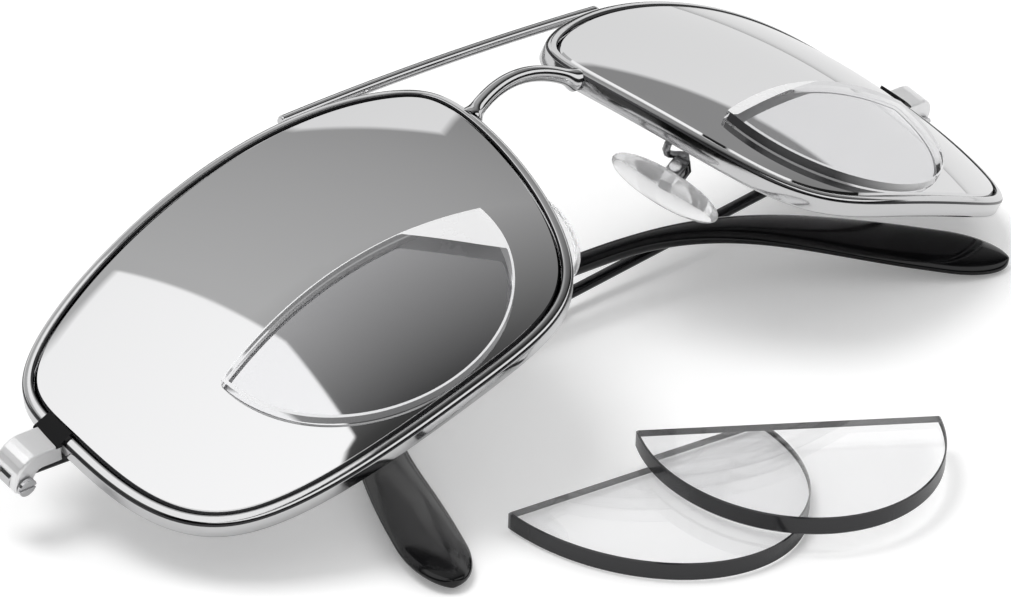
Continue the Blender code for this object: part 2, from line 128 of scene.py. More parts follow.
# Temples, measured along the wire from the hinge.
HINGE_OUT = 4.4
HINGE_BACK = 2.49
HINGE_UP = 5.5
BARREL_RADIUS = 1.25
EYE_HIGH = 1.6
EYE_BORE = 0.58
EYE_CHAMFER = 0.1
FOLD = {"right": -1.5, "left": 3.0}
HOOK_TURN = {"right": 38.0, "left": 60.0}
HOOK_IN = {"right": 0.5, "left": 11.0}
TEMPLE_DROP = 2.8
WIRE_RADIUS = 0.7
WIRE_START = 0.9
TIP_START = 64.0
WIRE_END = 75.0
HOOK_START = 78.0
HOOK_LONG = 38.0
TIP_END = 133.0
TIP_HALF = 1.2
PADDLE_HALF = 3.8
TIP_THICK_HALF = 1.1

# Nose pads.
PAD_LONG = 14.0
PAD_WIDE = 7.2
PAD_THICK = 2.4
PAD_CENTRE = (9.8, 5.3, -4.8)
PAD_NORMAL = (-0.84, 0.5, -0.2)
PAD_LEAN = 10.0
TAB = (1.6, 1.0, 1.9)

# Studio: what lights matt surfaces, what mirrors see, and the camera.
PLAIN_LEVEL = 0.6
TABLE_GLOW = 0.2
SOFTBOX_TONE = 1.25
FRONT_TONE = 1.15
PANEL_TONE = 0.15
FLAG_TONE = 0.06
CAMERA_AT = (-316.85, -282.0, 225.64)
CAMERA_TURN = (63.225, -1.615, -45.157)
CAMERA_LENS = 157.0

SEAT = (Matrix.Translation(Vector(SEAT_PLACE))
        @ Euler([math.radians(a) for a in SEAT_TILT], "XYZ").to_matrix().to_4x4())


def laid(points, matrix=None):
    """Points of the wearing frame (or of a frame in it) in the table frame, in metres."""
    m = np.array(SEAT @ matrix if matrix is not None else SEAT)
    return (points @ m[:3, :3].T + m[:3, 3]) * MM


def skin(name, grid, mats, body, node=None, along=False, sharp=50, bands=None,
         shade=None):
    """Mesh over a grid whose rows are closed rings: quads join each ring to the next, the last ring
    joins the first when along, and otherwise a fan closes each end. bands picks a material per row
    of quads or per quad; shade is a value per grid point."""
    rows, count = grid.shape[:2]
    index = np.arange(rows * count).reshape(rows, count)
    low = index if along else index[:-1]
    high = np.roll(index, -1, 0) if along else index[1:]
    quads = np.stack([low, np.roll(low, -1, 1), np.roll(high, -1, 1), high], -1).reshape(-1, 4)
    faces = quads.tolist()
    points = grid.reshape(-1, 3)
    if not along:
        turn = np.roll(index, -1, 1)
        poles = np.full(count, rows * count)
        points = np.concatenate([points, grid[:1].mean(1), grid[-1:].mean(1)])
        faces += np.stack([turn[0], index[0], poles], -1).tolist()
        faces += np.stack([index[-1], turn[-1], poles + 1], -1).tolist()
    mesh = bpy.data.meshes.new(name)
    mesh.from_pydata(points.tolist(), [], faces)
    corner = points[quads] - points.mean(0)
    spread = np.cross(corner[:, 2] - corner[:, 0], corner[:, 3] - corner[:, 1])
    if np.einsum("ij,ij->i", corner.mean(1), spread).sum() < 0:
        mesh.flip_normals()
    mesh.polygons.foreach_set("use_smooth", np.ones(len(faces), dtype=bool))
    mesh.set_sharp_from_angle(angle=math.radians(sharp))
    mats = mats if isinstance(mats, tuple) else (mats,)
    for mat in mats:
        mesh.materials.append(mat)
    if bands is not None:
        pick = np.zeros(len(faces), dtype=np.int32)
        pick[:len(quads)] = np.broadcast_to(bands.reshape(len(low), -1), (len(low), count)).ravel()
        mesh.polygons.foreach_set("material_index", pick)
    if shade is not None:
        values = np.full(len(points), shade.mean(), dtype=np.float32)
        values[:shade.size] = shade.ravel()
        mesh.attributes.new("shade", "FLOAT", "POINT").data.foreach_set("value", values)
    mesh.update()
    obj = bpy.data.objects.new(name, mesh)
    bpy.context.scene.collection.objects.link(obj)
    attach(obj, body)
    if node:
        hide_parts(node)
    return obj


def outline(offset=0.0, steps=30):
    """Closed cubic B-spline of the OUTLINE control points, moved out along its normal by offset."""
    corners = np.array(OUTLINE) * (LENS_WIDE / 2, LENS_HIGH / 2)
    step = np.arange(len(corners) * steps) / steps
    k = step.astype(int)
    t = (step - k)[:, None]
    near = [corners[(k + j) % len(corners)] for j in (-1, 0, 1, 2)]
    path = ((1 - t) ** 3 * near[0] + (3 * t ** 3 - 6 * t ** 2 + 4) * near[1]
            + (-3 * t ** 3 + 3 * t ** 2 + 3 * t + 1) * near[2] + t ** 3 * near[3]) / 6
    slope = (-(1 - t) ** 2 * near[0] + (3 * t ** 2 - 4 * t) * near[1]
             + (-3 * t ** 2 + 2 * t + 1) * near[2] + t ** 2 * near[3]) / 2
    out = np.stack([slope[:, 1], -slope[:, 0]], 1) / np.linalg.norm(slope, axis=1)[:, None]
    return path + offset * out


def dome(flat, lift, side):
    """Lens-plane points raised to the base-curve sphere plus lift."""
    u, v = flat[..., 0], flat[..., 1]
    return np.stack([side * u, v, lift - (u * u + v * v) / (2 * BASE_RADIUS)], -1)


def lens_seat(side):
    """Lens frame turned by the wrap angle, its nasal edge half of LENS_APART from the middle."""
    turn = math.radians(WRAP_ANGLE)
    c, s = math.cos(turn), side * math.sin(turn)
    edge = dome(outline(), 0.0, 1)
    out = LENS_APART / 2 - (c * edge[:, 0] + abs(s) * edge[:, 2]).min()
    return Matrix(((c, 0, s, side * out), (s, 0, -c, LENS_SET_BACK), (0, 1, 0, 0), (0, 0, 0, 1)))


def half_moon(wide, deep, bow=0.0, straight=60, steps=120):
    """Half-ellipse below an upper edge that is straight, or a parabola of height bow."""
    turn = np.linspace(math.pi, 2 * math.pi, steps + 1)
    arc = np.stack([wide / 2 * np.cos(turn), deep * np.sin(turn)], 1)
    edge = np.linspace(1, -1, straight + 1)[1:-1]
    return np.concatenate([arc, np.stack([wide / 2 * edge, bow * (1 - edge ** 2)], 1)])


def tube(path, radius, sides=20):
    """Round section of varying radius carried along a path, square to its direction."""
    path = np.asarray(path, float)
    ahead = np.gradient(path, axis=0)
    ahead /= np.linalg.norm(ahead, axis=1)[:, None]
    steep = np.abs(ahead[:, 2:3]) > 0.9
    ref = np.where(steep, np.array([[0.0, 1.0, 0.0]]), np.array([[0.0, 0.0, 1.0]]))
    across = np.cross(ahead, ref)
    across /= np.linalg.norm(across, axis=1)[:, None]
    up = np.cross(across, ahead)
    turn = np.linspace(0, 2 * math.pi, sides, endpoint=False)
    r = np.broadcast_to(np.asarray(radius, float), (len(path),))[:, None, None]
    return (path[:, None] + r * (np.cos(turn)[None, :, None] * across[:, None]
                                 + np.sin(turn)[None, :, None] * up[:, None]))


# Materials.

def new_material(name):
    """Material with nodes, its nodes and its links."""
    mat = bpy.data.materials.new(name)
    mat.use_nodes = True
    return mat, mat.node_tree.nodes, mat.node_tree.links


def wear_group():
    """Smudge: soft patches a few millimetres wide. Grain: fine hairlines. Both 0 to 1."""
    tree = bpy.data.node_groups.new("wear", "ShaderNodeTree")
    tree.interface.new_socket("Smudge", in_out="OUTPUT", socket_type="NodeSocketFloat")
    tree.interface.new_socket("Grain", in_out="OUTPUT", socket_type="NodeSocketFloat")
    out = tree.nodes.new("NodeGroupOutput")
    where = tree.nodes.new("ShaderNodeTexCoord")
    soft = tree.nodes.new("ShaderNodeTexNoise")
    soft.inputs["Scale"].default_value = 220.0
    soft.inputs["Detail"].default_value = 4.0
    stretch = tree.nodes.new("ShaderNodeMapping")
    stretch.inputs["Scale"].default_value = (300.0, 4200.0, 4200.0)
    fine = tree.nodes.new("ShaderNodeTexNoise")
    fine.inputs["Scale"].default_value = 1.0
    fine.inputs["Detail"].default_value = 3.0
    link = tree.links.new
    link(where.outputs["Object"], soft.inputs["Vector"])
    link(where.outputs["Object"], stretch.inputs["Vector"])
    link(stretch.outputs["Vector"], fine.inputs["Vector"])
    link(soft.outputs["Fac"], out.inputs["Smudge"])
    link(fine.outputs["Fac"], out.inputs["Grain"])
    return tree


WEAR = wear_group()


def ranged(nodes, links, source, low, high, start=0.3, stop=0.7):
    """Map a 0 to 1 mask to the range low to high."""
    node = nodes.new("ShaderNodeMapRange")
    node.inputs["From Min"].default_value = start
    node.inputs["From Max"].default_value = stop
    node.inputs["To Min"].default_value = low
    node.inputs["To Max"].default_value = high
    links.new(source, node.inputs["Value"])
    return node.outputs["Result"]


def worn(name, colour, metallic, rough, bump=0.0, bevel=0.0):
    """Principled surface whose roughness follows smudges and whose normal carries hairlines."""
    mat, nodes, links = new_material(name)
    shader = nodes["Principled BSDF"]
    shader.inputs["Base Color"].default_value = (*colour, 1.0)
    shader.inputs["Metallic"].default_value = metallic
    wear = nodes.new("ShaderNodeGroup")
    wear.node_tree = WEAR
    links.new(ranged(nodes, links, wear.outputs["Smudge"], *rough), shader.inputs["Roughness"])
    height = nodes.new("ShaderNodeBump")
    height.inputs["Strength"].default_value = bump
    height.inputs["Distance"].default_value = 0.00005
    links.new(wear.outputs["Grain"], height.inputs["Height"])
    if bevel:
        soft = nodes.new("ShaderNodeBevel")
        soft.samples = 6
        soft.inputs["Radius"].default_value = bevel * MM
        links.new(soft.outputs["Normal"], height.inputs["Normal"])
    links.new(height.outputs["Normal"], shader.inputs["Normal"])
    return mat, nodes, links, shader, wear


GUNMETAL = worn("gunmetal", (0.62, 0.62, 0.625), 1.0, (0.06, 0.13), 0.03)[0]
# Dark metal bands on the eyewire's lip and outer front corner: painted dark reflection lines.
PAINTED_REFLECTION_LINE = worn("rim_painted_reflection_line", (0.05, 0.05, 0.052), 1.0, (0.2, 0.3), 0.03)[0]
BLACK_WIRE = worn("black_wire", (0.05, 0.05, 0.052), 1.0, (0.12, 0.22), 0.03)[0]
FITTING = worn("satin_fitting", (0.9, 0.9, 0.905), 0.65, (0.3, 0.42), 0.05, 0.25)[0]
PAD_WIRE = worn("pad_wire", (0.24, 0.24, 0.245), 1.0, (0.12, 0.22), 0.05, 0.2)[0]
STEEL = worn("turned_steel", (0.62, 0.62, 0.63), 1.0, (0.15, 0.28), 0.12, 0.15)[0]


def black_gloss(name, colour, rough, index):
    """Black gloss with a mild sheen: the ear-tip sleeve, or the plate painted black as a dark
    reflection.
    """
    mat, nodes, links, shader, wear = worn(name, colour, 0.0, rough, 0.03)
    shader.inputs["IOR"].default_value = index
    return mat


def shaded(nodes, links, shader, low, high):
    """Base colour between two tones by the piece's own shade value."""
    shade = nodes.new("ShaderNodeAttribute")
    shade.attribute_name = "shade"
    ramp = nodes.new("ShaderNodeValToRGB")
    ramp.color_ramp.elements[0].color = (*low, 1.0)
    ramp.color_ramp.elements[1].color = (*high, 1.0)
    links.new(shade.outputs["Fac"], ramp.inputs["Fac"])
    links.new(ramp.outputs["Color"], shader.inputs["Base Color"])


def mirror_lens():
    """Flash-mirrored grey lens, a little darker toward its top, with faint smudges."""
    mat, nodes, links, shader, wear = worn("mirror_lens", (0.7, 0.7, 0.7), 1.0, (0.012, 0.035))
    shaded(nodes, links, shader, (0.74, 0.74, 0.745), (0.66, 0.66, 0.665))
    return mat


def clear_resin(name, tint, rough, index, passing, clear=1.0):
    """Clear resin through which light reaches the table: shadow rays pass, dimmed by passing. A
    clear below 1 is milky."""
    mat, nodes, links, shader, wear = worn(name, tint, 0.0, rough)
    shader.inputs["Transmission Weight"].default_value = clear
    shader.inputs["IOR"].default_value = index
    path = nodes.new("ShaderNodeLightPath")
    through = nodes.new("ShaderNodeBsdfTransparent")
    through.inputs["Color"].default_value = (passing, passing, passing, 1.0)
    mix = nodes.new("ShaderNodeMixShader")
    links.new(path.outputs["Is Shadow Ray"], mix.inputs["Fac"])
    links.new(shader.outputs["BSDF"], mix.inputs[1])
    links.new(through.outputs["BSDF"], mix.inputs[2])
    links.new(mix.outputs["Shader"], nodes["Material Output"].inputs["Surface"])
    return mat


def shaded_wall(name, dark, pale, rough):
    """Polished wall of a segment painted as a reflection, dark where the piece's shade is 0 and
    paler toward 1.
    """
    mat, nodes, links, shader, wear = worn(name, dark, 0.0, rough)
    shaded(nodes, links, shader, dark, pale)
    return mat


# Black plate over the end piece's eyewire: a painted dark reflection.
PAINTED_REFLECTION_PLATE = black_gloss("black_plate_painted_reflection", (0.006, 0.006, 0.0065), (0.1, 0.2), 1.2)
TIP = black_gloss("black_tip", (0.004, 0.004, 0.0045), (0.08, 0.18), 1.4)
LENS = mirror_lens()
SEGMENT = clear_resin("clear_segment", (0.985, 0.985, 0.99), (0.0, 0.02), 1.08, 0.95)
# Opaque white chamfer on the clear segment's front edge: a painted highlight.
PAINTED_HIGHLIGHT_CHAMFER = worn("segment_chamfer_painted_highlight", (0.9, 0.9, 0.91), 0.0, (0.2, 0.35))[0]
# Milky white facet at the segment's nasal corner: a painted highlight.
PAINTED_HIGHLIGHT_FACET = clear_resin("segment_facet_painted_highlight", (0.97, 0.97, 0.975), (0.2, 0.35), 1.3, 0.9, 0.15)
# Opaque wall on part of the segment's arc: a painted dark reflection, paling to a painted highlight
# toward the temple.
PAINTED_REFLECTION_EDGE = shaded_wall("segment_edge_painted_reflection", (0.04, 0.04, 0.042), (0.85, 0.85, 0.855), (0.15, 0.3))
SPARE = clear_resin("clear_spare", (0.985, 0.985, 0.99), (0.0, 0.02), 1.5, 0.94)
# Opaque wall of the loose segments: a painted dark reflection, paler along the straight edge.
PAINTED_REFLECTION_SPARE_WALL = shaded_wall("spare_wall_painted_reflection", (0.022, 0.022, 0.024), (0.3, 0.3, 0.305),
                         (0.12, 0.25))
SILICONE = clear_resin("clear_silicone", (0.98, 0.98, 0.985), (0.02, 0.1), 1.25, 0.9, 0.8)


def rim_section():
    """Eyewire channel: rounded outer and front corners as quarter circles, a V groove inside."""
    turn = np.linspace(0, math.pi / 2, 6)
    corner = np.stack([HALF - RIM_ROUND + RIM_ROUND * np.cos(turn),
                       DEEP - RIM_ROUND + RIM_ROUND * np.sin(turn)], 1)
    front = np.concatenate([corner, corner[::-1] * (-1, 1), [(-HALF, GROOVE_WIDE / 2)]])
    return np.concatenate([front, [(GROOVE_DEPTH - HALF, 0.0)], front[::-1] * (1, -1)])


def eyewire(label, side):
    """Rim section carried round the lens outline on the base curve, with a painted dark reflection
    line inside its front lip and one round its outer front corner."""
    section = rim_section()
    rings = np.stack([dome(outline(p), q, side) for p, q in section])
    p, q = (section + np.roll(section, -1, 0)).T / 2
    # Bands painted dark as reflections: inside the front lip and round the outer front corner.
    inner = (p < LIP_AT) & (q > 0)
    outer = (p > CORNER_AT) & (q > DEEP - RIM_ROUND + CORNER_FROM)
    skin(f"eyewire_{label}", laid(rings, lens_seat(side)), (GUNMETAL, PAINTED_REFLECTION_LINE), "front",
         f"rim_{label}", along=True, sharp=55, bands=(inner | outer).astype(np.int32))


def lug_plate(label, side):
    """Black plate over the eyewire at the end piece, a painted dark reflection: a rounded slab
    section, across the rim and above its front, carried along a short stretch of the outline."""
    path = outline()
    near = np.argmin(np.hypot(path[:, 1] - HINGE_UP, np.clip(10 - path[:, 0], 0, None)))
    gone = np.cumsum(np.linalg.norm(np.diff(path, axis=0, append=path[:1]), axis=1))
    spot = np.abs(gone - gone[near]) < PLATE_LONG / 2
    turn = np.linspace(0, 2 * math.pi, 32, endpoint=False)
    ring = np.stack([np.cos(turn), np.sin(turn)], 1)
    slab = np.sign(ring) * np.abs(ring) ** 0.35
    slab = slab * ((PLATE_TO - PLATE_FROM) / 2, PLATE_HALF_THICK)
    slab = slab + ((PLATE_TO + PLATE_FROM) / 2, DEEP + PLATE_LIFT)
    rings = np.stack([dome(outline(p)[spot], q, side) for p, q in slab], 1)
    skin(f"lug_plate_{label}", laid(rings, lens_seat(side)), PAINTED_REFLECTION_PLATE, "front", None,
         sharp=40)


def mirror_glass(label, side):
    """Lens: the outline shrunk to its centre on the front and back of the base curve, joined by an
    apex ring that stands in the groove."""
    apex = outline(GROOVE_DEPTH - HALF - SEAT_GAP)
    face = outline(GROOVE_DEPTH - HALF - SEAT_GAP - LENS_BEVEL)
    shrink = np.linspace(POLE, 1.0, LENS_RINGS)
    rows = [dome(face * k, LENS_THICK / 2, side) for k in shrink]
    rows += [dome(apex, 0.0, side)]
    rows += [dome(face * k, -LENS_THICK / 2, side) for k in shrink[::-1]]
    rows = np.stack(rows)
    skin(f"lens_{label}", laid(rows, lens_seat(side)), LENS, "front", f"sun_lens_{label}",
         sharp=30, shade=np.clip(rows[..., 1] / LENS_HIGH + 0.5, 0, 1))


def bonded_segment(label, side):
    """Half-moon shrunk to its middle on two lifts of the base curve. A straight line cuts off the
    nasal corner of the front face, and from it a plane facet falls to the edge, milky white as a
    painted highlight; the rest of the front edge has a fine chamfer painted white as a highlight,
    and part of the arc a wall painted as a dark reflection that pales along the arc."""
    centre = np.array(SEGMENT_AT[label])
    moon = half_moon(SEGMENT_WIDE, SEGMENT_DEEP, SEGMENT_BOW) + centre
    middle = centre - (0, SEGMENT_DEEP * MOON_MIDDLE)
    low = LENS_THICK / 2 + BOND_GAP
    high = low + SEGMENT_THICK
    first, last = np.array(FACETS[label]) + centre
    along = (last - first) / np.linalg.norm(last - first)
    across = np.array([along[1], -along[0]])
    beyond = (moon - first) @ across
    face = middle + (moon - middle) * FACE_SHARE
    cut = beyond > 0
    face[cut] -= beyond[cut, None] * across
    drop = FACET_SLOPE * np.clip(beyond, 0, None)[:, None] * (0, 0, 1)
    shrink = np.linspace(POLE, 1.0, SEGMENT_RINGS)
    rows = [dome(middle + (face - middle) * k, high, side) for k in shrink]
    rows += [dome(moon, high - CHAMFER, side) - drop, dome(moon, low, side)]
    rows += [dome(middle + (moon - middle) * k, low, side) for k in shrink[-2::-1]]
    bands = np.zeros((len(rows) - 1, len(moon)), dtype=np.int32)
    # Arc wall painted as a dark reflection from the nose up to ARC_DARK_TO, paling along the arc.
    reach = moon - centre
    dark = (reach[:, 1] < 0) & (reach[:, 0] < ARC_DARK_TO.get(label, -SEGMENT_WIDE))
    # Chamfer row: white as a painted highlight, the milky painted-highlight facet at the cut, and
    # clear above the arc wall painted dark.
    bands[SEGMENT_RINGS - 1] = np.where(cut & np.roll(cut, -1), 2, np.where(dark, 0, 1))
    bands[SEGMENT_RINGS] = np.where(dark, 3, 0)
    pale = np.clip((reach[:, 0] - PALE_FROM) / PALE_LONG, 0, 1)
    skin(f"bonded_segment_{label}", laid(np.stack(rows), lens_seat(side)),
         (SEGMENT, PAINTED_HIGHLIGHT_CHAMFER, PAINTED_HIGHLIGHT_FACET, PAINTED_REFLECTION_EDGE), "front",
         f"reading_segment_{label}", sharp=8, bands=bands,
         shade=np.broadcast_to(pale, (len(rows), len(moon))))


def beside_rim(side, sign, height, out):
    """Wearing-frame point beside the eyewire at a height, nasal for sign -1, temporal for 1."""
    path = outline(out)
    path = path[np.sign(path[:, 0]) == sign]
    path = path[np.argsort(path[:, 1])]
    spot = np.array([np.interp(height, path[:, 1], path[:, 0]), height])
    return np.array(lens_seat(side) @ Vector(dome(spot, 0.0, side)))


def bridge_wire():
    """Parabolic arch between the nasal walls, swelling into a braze fillet at each root."""
    root = beside_rim(1, -1, BRIDGE_AT, HALF - BRIDGE_SINK)
    across = np.linspace(-1, 1, 121)
    arch = 1 - across ** 2
    end = (1 - np.abs(across)) * root[0]
    radius = BRIDGE_RADIUS + BRAZE_SWELL * np.exp(-(end / BRAZE_LONG) ** 2)
    path = np.stack([root[0] * across, root[1] - BRIDGE_FORWARD * arch,
                     root[2] + BRIDGE_RISE * arch], 1)
    skin("bridge_wire", laid(tube(path, radius, 28)), GUNMETAL, "front", "bridge")


def brow_rod():
    """Round rod with a shallow parabolic bow, resting on the tops of both eyewires."""
    walls = dome(outline(HALF), 0.0, 1)
    m = np.array(lens_seat(1))
    walls = walls @ m[:3, :3].T + m[:3, 3]
    near = walls[(np.abs(walls[:, 0]) < BAR_HALF + 2) & (walls[:, 2] > 10)]
    crest = near[np.argmax(near[:, 2])]
    bow = np.sin(np.linspace(-math.pi / 2, math.pi / 2, 81))
    path = np.stack([BAR_HALF * bow, crest[1] + 0 * bow,
                     crest[2] + BAR_RADIUS + BRAZE_GAP + BAR_RISE * (1 - bow ** 2)], 1)
    end = BAR_HALF * (1 - np.abs(bow))
    radius = BAR_RADIUS * np.sqrt(np.clip(end / BAR_END_ROUND, 0.55, 1))
    skin("brow_rod", laid(tube(path[1:-1], radius[1:-1], 24)), GUNMETAL, "front", "brow_bar")


def temple_line(label, side):
    """Centre line of a temple in its hinge frame: straight, then a hook whose angle grows by a
    smooth step; returns arc lengths and points."""
    run = np.linspace(0.0, TIP_END, 277)
    bend = np.clip((run - HOOK_START) / HOOK_LONG, 0, 1)
    angle = math.radians(TEMPLE_DROP) + math.radians(HOOK_TURN[label]) * bend ** 2 * (3 - 2 * bend)
    step = run[1] - run[0]
    inward = HOOK_IN[label] * np.clip((run - HOOK_START) / (TIP_END - HOOK_START), 0, 1) ** 1.25
    return run, np.stack([-side * (np.cumsum(np.cos(angle)) * step - step), -inward,
                          -np.cumsum(np.sin(angle)) * step], 1)


def temple(label, side):
    """Temple wire with its hinge eye, and the black tip widening to a rounded paddle."""
    hinge = beside_rim(side, 1, HINGE_UP, HALF + BRAZE_GAP)
    hinge = Vector((hinge[0] + side * HINGE_OUT, hinge[1] + HINGE_BACK, HINGE_UP))
    place = Matrix.Translation(hinge) @ Matrix.Rotation(-side * math.radians(FOLD[label]), 4, "Z")
    body = f"temple_arm_{label}"
    run, line = temple_line(label, side)
    shaft = line[(run > WIRE_START) & (run < WIRE_END)]
    skin(f"temple_wire_{label}", laid(tube(shaft, WIRE_RADIUS), place), BLACK_WIRE, body,
         f"temple_{label}")

    turn = np.linspace(0, 2 * math.pi, 48, endpoint=False)
    ring = np.stack([np.cos(turn), np.sin(turn), 0 * turn], 1)
    top = EYE_HIGH / 2
    trim = BARREL_RADIUS - EYE_CHAMFER
    wall = [(EYE_BORE, -top), (trim, -top), (BARREL_RADIUS, EYE_CHAMFER - top),
            (BARREL_RADIUS, top - EYE_CHAMFER), (trim, top), (EYE_BORE, top)]
    eye = np.stack([ring * r + (0, 0, h) for r, h in wall])
    skin(f"temple_eye_{label}", laid(eye, place), GUNMETAL, body, None,
         along=True, sharp=40)

    mark = np.concatenate([[0.0, 0.004, 0.012], np.linspace(0.02, 0.9, 70),
                           0.9 + 0.1 * np.sin(np.linspace(0.05, 1.55, 30))])
    s = TIP_START + (TIP_END - TIP_START) * mark
    ahead = np.gradient(line, axis=0)
    spot, ahead = (np.stack([np.interp(s, run, v[:, i]) for i in range(3)], 1)
                   for v in (line, ahead))
    ahead /= np.linalg.norm(ahead, axis=1)[:, None]
    flat = np.cross(ahead, np.array([0.0, side, 0.0]))
    flat /= np.linalg.norm(flat, axis=1)[:, None]
    thin = np.cross(flat, ahead)
    grow = np.clip((mark - 0.3) / 0.55, 0, 1)
    close = np.sqrt(np.clip(1 - (np.clip(mark - 0.89, 0, 1) / 0.1105) ** 2, 0.0004, 1))
    close[:3] = (0.8, 0.93, 0.98)
    high = close * (TIP_HALF + (PADDLE_HALF - TIP_HALF) * grow ** 2 * (3 - 2 * grow))
    thick = (0.35 + 0.65 * close) * TIP_THICK_HALF
    turn = np.linspace(0, 2 * math.pi, 40, endpoint=False)[:, None]
    sleeve = (spot[:, None] + high[:, None, None] * np.cos(turn) * flat[:, None]
              + thick[:, None, None] * np.sin(turn) * thin[:, None])
    skin(f"ear_tip_{label}", laid(sleeve, place), TIP, body, f"temple_tip_{label}")


def nose_pad(label, side):
    """Oval cushion whose rings follow a flattened half-circle, with the tab that enters its box."""
    normal = Vector((side * PAD_NORMAL[0], PAD_NORMAL[1], PAD_NORMAL[2])).normalized()
    lean = math.radians(PAD_LEAN)
    tall = Vector((-side * math.sin(lean), 0, math.cos(lean)))
    tall = (tall - normal * tall.dot(normal)).normalized()
    place = Matrix((tall.cross(normal), tall, normal)).transposed().to_4x4()
    place.translation = Vector((side * PAD_CENTRE[0], PAD_CENTRE[1], PAD_CENTRE[2]))
    turn = np.linspace(0, 2 * math.pi, 64, endpoint=False)
    oval = np.stack([np.cos(turn), np.sin(turn), 0 * turn], 1)
    lat = np.linspace(-1.45, 1.45, 33)
    rows = np.stack([oval * (PAD_WIDE / 2, PAD_LONG / 2, 0) * np.cos(a) ** 0.55
                     + (0, 0, 0.5 * PAD_THICK * np.sin(a)) for a in lat])
    skin(f"pad_{label}", laid(rows, place), SILICONE, f"pad_{label}", f"nose_pad_{label}")
    square = np.sign(oval) * np.abs(oval) ** 0.4 * (TAB[1] / 2, TAB[0] / 2, 0)
    reach = np.linspace(-PAD_THICK / 2 - TAB[2] + 0.1, -PAD_THICK / 2 + 0.3, 9)
    stem = np.stack([square * k + (0, 0, z) for k, z in zip((0.8,) + (1.0,) * 8, reach)])
    skin(f"pad_tab_{label}", laid(stem, place), SILICONE, f"pad_{label}", None,
         sharp=60)


def loose_segment(label, x, y, turn, lift):
    """Flat half-moon shrunk to its middle on both faces, with its polished wall painted as a dark
    reflection, paler along the straight edge.
    """
    moon = half_moon(SPARE_WIDE, SPARE_DEEP)
    middle = np.array([0.0, -SPARE_DEEP * MOON_MIDDLE])
    shrink = np.linspace(POLE, SPARE_FACE_SHARE, SPARE_RINGS)
    levels = [(k, SPARE_THICK) for k in shrink]
    levels += [(1.0, SPARE_THICK - SPARE_CHAMFER), (1.0, SPARE_CHAMFER)]
    levels += [(k, 0.0) for k in shrink[::-1]]
    rows = np.stack([np.insert(middle + (moon - middle) * k, 2, z, 1) for k, z in levels])
    c, s = math.cos(math.radians(turn)), math.sin(math.radians(turn))
    spin = np.array([[c, -s, 0], [s, c, 0], [0, 0, 1]])
    bands = np.zeros(len(rows) - 1, dtype=np.int32)
    bands[SPARE_RINGS - 1:SPARE_RINGS + 2] = 1
    # The straight edge's wall is painted paler than the arc's, as a painted reflection.
    chord = np.broadcast_to(moon[:, 1] > -0.05, rows.shape[:2]).astype(float)
    skin(f"loose_half_moon_{label}", (rows @ spin.T + (x, y, lift)) * MM, (SPARE, PAINTED_REFLECTION_SPARE_WALL),
         f"loose_segment_{label}", f"spare_segment_{label}", sharp=30, bands=bands,
         shade=chord)


for label, side in SIDES.items():
    eyewire(label, side)
    lug_plate(label, side)
    mirror_glass(label, side)
    bonded_segment(label, side)
    temple(label, side)
    nose_pad(label, side)
bridge_wire()
brow_rod()
for label, spot in SPARES.items():
    loose_segment(label, *spot)

for name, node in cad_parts.items():
    finish = (FITTING if name.startswith("endpiece") else PAD_WIRE if name.startswith("pad_arm")
              else STEEL if name.startswith(("hinge_screw", "pad_screw")) else None)
    if finish:
        node.active_material = finish


def white_table():
    """Matt white table; the camera sees it a little brighter, so it is white between shadows."""
    size = 3.0
    mesh = bpy.data.meshes.new("table")
    mesh.from_pydata([(-size, -size, -0.0002), (size, -size, -0.0002), (size, size, -0.0002),
                      (-size, size, -0.0002)], [], [(0, 1, 2, 3)])
    mat, nodes, links = new_material("white_table")
    shader = nodes["Principled BSDF"]
    shader.inputs["Base Color"].default_value = (0.9, 0.9, 0.9, 1.0)
    shader.inputs["Roughness"].default_value = 0.9
    shader.inputs["Specular IOR Level"].default_value = 0.0
    ray = nodes.new("ShaderNodeLightPath")
    glow = nodes.new("ShaderNodeEmission")
    level = nodes.new("ShaderNodeMath")
    level.operation = "MULTIPLY"
    level.inputs[1].default_value = TABLE_GLOW
    seen = nodes.new("ShaderNodeMath")
    seen.operation = "MAXIMUM"
    links.new(ray.outputs["Is Camera Ray"], seen.inputs[0])
    links.new(ray.outputs["Is Transmission Ray"], seen.inputs[1])
    links.new(seen.outputs[0], level.inputs[0])
    links.new(level.outputs[0], glow.inputs["Strength"])
    both = nodes.new("ShaderNodeAddShader")
    links.new(shader.outputs["BSDF"], both.inputs[0])
    links.new(glow.outputs["Emission"], both.inputs[1])
    links.new(both.outputs["Shader"], nodes["Material Output"].inputs["Surface"])
    mesh.materials.append(mat)
    floor = bpy.data.objects.new("table", mesh)
    bpy.context.scene.collection.objects.link(floor)


